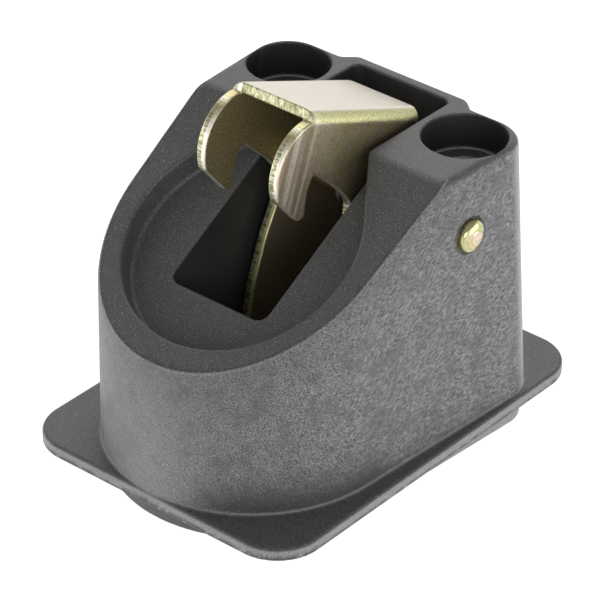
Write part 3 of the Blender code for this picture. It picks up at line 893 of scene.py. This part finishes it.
def turned_gold():
    """The pin's yellow plating over fine turned rings."""
    shader = Shader("gold_pin_steel", (0.66, 0.60, 0.38), 0.2, 1.0)
    y, z = shader.split(shader.place.outputs["Object"])[1:3]
    off_y = shader.math("SUBTRACT", y, PIN_Y * MM)
    off_z = shader.math("SUBTRACT", z, PIN_Z * MM)
    square = shader.math("MULTIPLY_ADD", off_y, off_y, shader.math("MULTIPLY", off_z, off_z))
    radius = shader.math("MULTIPLY", shader.math("SQRT", square), 1000.0)
    ripple = shader.math("MULTIPLY_ADD", shader.math("SINE", shader.math("MULTIPLY", radius, 6.4)),
                         0.5, 0.5)
    cloud = shader.noise(shader.spot(), 3.4, 2.0, 0.5)
    tone = shader.ramp(cloud, [(0.35, (0.40, 0.44, 0.18)), (0.50, (0.60, 0.50, 0.28)),
                               (0.62, (0.72, 0.56, 0.46))])
    tone = shader.mix(shader.math("MULTIPLY", ripple, 0.2), tone, (0.90, 0.87, 0.68))
    rough = shader.span(cloud, 0.3, 0.7, 0.08, 0.16)
    rings = shader.math("MULTIPLY", ripple, shader.span(radius, 2.2, 3.2, 1.0, 0.0))
    return shader.set(Base_Color=tone, Roughness=rough, Normal=shader.bump(rings, 0.07, 0.8))


def satin_plastic(name, colour, tint, roughness):
    """Plain moulded plastic with a fine eroded surface."""
    shader = Shader(name, colour, roughness)
    plain = shader.spot()
    fine = shader.noise(plain, 0.35, 4.0, 0.65)
    cloud = shader.noise(plain, 6.0, 3.0, 0.5)
    tone = shader.mix(shader.span(cloud, 0.3, 0.7), colour, tint)
    rough = shader.span(fine, 0.3, 0.7, roughness - 0.06, roughness + 0.08)
    return shader.set(Base_Color=tone, Roughness=rough, Normal=shader.bump(fine, 0.03, 0.6))


# ---------------------------------------------------------------- pieces

def make_pieces():
    """The three pieces that take the place of their CAD nodes."""
    nylon = moulded_plastic()
    steel = passivated_steel()
    gold = turned_gold()
    half_x, half_y = FLANGE_HALF
    housing = skinned("housing_shell", housing_field, housing_zones, (-half_x, -half_y, 0),
                      (half_x, half_y, HEIGHT), cell=0.45, keep=190_000)
    dress(housing, "dock", "housing", nylon)
    claw = skinned("claw_sheet", claw_field, claw_zones, (-CLAW_HALF, CLAW_Y[0], CLAW_FOOT_Z),
                   (CLAW_HALF, CLAW_Y[1], WEB_FRONT[1]), cell=0.22,
                   keep=150_000)
    dress(claw, "claw", "claw_lever", steel)

    face = PIN_HEAD_FACE
    brim, brim_radius, rise = face + 0.75, 3.82, 1.45
    dome = [(face, 3.7), (face + 0.15, 3.84), (face + 0.45, 3.9), (brim, brim_radius)]
    dome += [(brim + rise * math.sin(math.radians(a)), brim_radius * math.cos(math.radians(a)))
             for a in (14, 26, 38, 50, 60, 70, 80)]
    dome.append((face + 2.2, 0))
    tail = [(-37.2, 0), (-37.2, 2.2), (-37.0, 2.5), (-36.6, 2.85), (-36.2, 3.0), (-35.2, 3.0)]
    pin = turned("cross_pin", tail + dome, (PIN_Y, PIN_Z))
    dress(pin, "dock", "pivot_pin", gold)


def plain_materials():
    """Materials for the CAD nodes that are shown as they are."""
    zinc = plated("zinc_screw_steel", (0.60, 0.61, 0.63), (0.70, 0.71, 0.72), 0.3)
    wire = plated("spring_wire", (0.30, 0.30, 0.31), (0.40, 0.40, 0.40), 0.35)
    gold = plated("gold_ring_steel", (0.72, 0.66, 0.42), (0.80, 0.76, 0.60), 0.25)
    acetal = satin_plastic("black_acetal", (0.018, 0.018, 0.019), (0.026, 0.026, 0.027), 0.4)
    black = satin_plastic("cover_nylon", (0.028, 0.028, 0.029), (0.040, 0.040, 0.041), 0.5)
    looks = {"base_cover": black, "pin_retainer": gold, "torsion_spring": wire,
             "side_washer_left": acetal, "side_washer_right": acetal}
    looks.update({f"cover_screw_{n}": zinc for n in range(1, 5)})
    for name, look in looks.items():
        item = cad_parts[name]
        item.data.materials.clear()
        item.data.materials.append(look)


# ---------------------------------------------------------------- stage

def make_camera():
    """The camera at the photograph's viewing angle."""
    azimuth, elevation, roll = (math.radians(a) for a in CAMERA_TURN)
    back = Vector((math.sin(azimuth) * math.cos(elevation),
                   -math.cos(azimuth) * math.cos(elevation), math.sin(elevation)))
    right = Vector((math.cos(azimuth), math.sin(azimuth), 0))
    up = back.cross(right)
    right, up = (right * math.cos(roll) + up * math.sin(roll),
                 up * math.cos(roll) - right * math.sin(roll))
    data = bpy.data.cameras.new("camera")
    data.sensor_width = 36
    data.lens = CAMERA_LENS
    data.clip_start = 0.01
    camera = bpy.data.objects.new("camera", data)
    bpy.context.scene.collection.objects.link(camera)
    place = Matrix((right, up, back)).transposed().to_4x4()
    place.translation = CAMERA_PLACE
    camera.matrix_world = place
    bpy.context.scene.camera = camera


def area_light(name, azimuth, elevation, distance, size, power):
    """A soft panel that faces the object from that side."""
    data = bpy.data.lights.new(name, "AREA")
    data.shape = "RECTANGLE"
    data.size, data.size_y = size
    data.energy = power
    light = bpy.data.objects.new(name, data)
    bpy.context.scene.collection.objects.link(light)
    a, e = math.radians(azimuth), math.radians(elevation)
    back = Vector((math.sin(a) * math.cos(e), -math.cos(a) * math.cos(e), math.sin(e)))
    light.location = Vector((0, 0, 0.04)) + back * distance
    light.rotation_euler = back.to_track_quat("Z", "Y").to_euler()


def make_world():
    """A white room: bright low down all round, dimmer overhead."""
    world = bpy.data.worlds.new("studio")
    bpy.context.scene.world = world
    world.use_nodes = True
    tree = world.node_tree
    shade = tree.nodes["Background"]
    place = tree.nodes.new("ShaderNodeTexCoord")
    parts = tree.nodes.new("ShaderNodeSeparateXYZ")
    tree.links.new(place.outputs["Generated"], parts.inputs[0])
    level = tree.nodes.new("ShaderNodeMapRange")
    level.interpolation_type = "SMOOTHSTEP"
    for name, number in (("From Min", 0.12), ("From Max", 0.45), ("To Min", 1.15),
                         ("To Max", 0.42)):
        level.inputs[name].default_value = number
    tree.links.new(parts.outputs[2], level.inputs[0])
    tree.links.new(level.outputs[0], shade.inputs[1])
    shade.inputs[0].default_value = (1, 1, 1, 1)


def make_stage():
    """A pale floor that glows evenly, the room and the soft panels."""
    bm = bmesh.new()
    bmesh.ops.create_grid(bm, x_segments=8, y_segments=8, size=3.0)
    floor = from_bmesh("floor", bm)
    floor.location.z = -0.0002
    shader = Shader("pale_floor", (0.3, 0.3, 0.3), 0.9, 0.0, 0.0)
    shader.out.inputs["Emission Color"].default_value = (1, 1, 1, 1)
    shader.out.inputs["Emission Strength"].default_value = 0.95
    floor.data.materials.append(shader.made)
    make_world()
    for panel in PANELS:
        area_light(*panel)
    bpy.context.scene.view_settings.view_transform = "Standard"


make_camera()
make_pieces()
plain_materials()
make_stage()
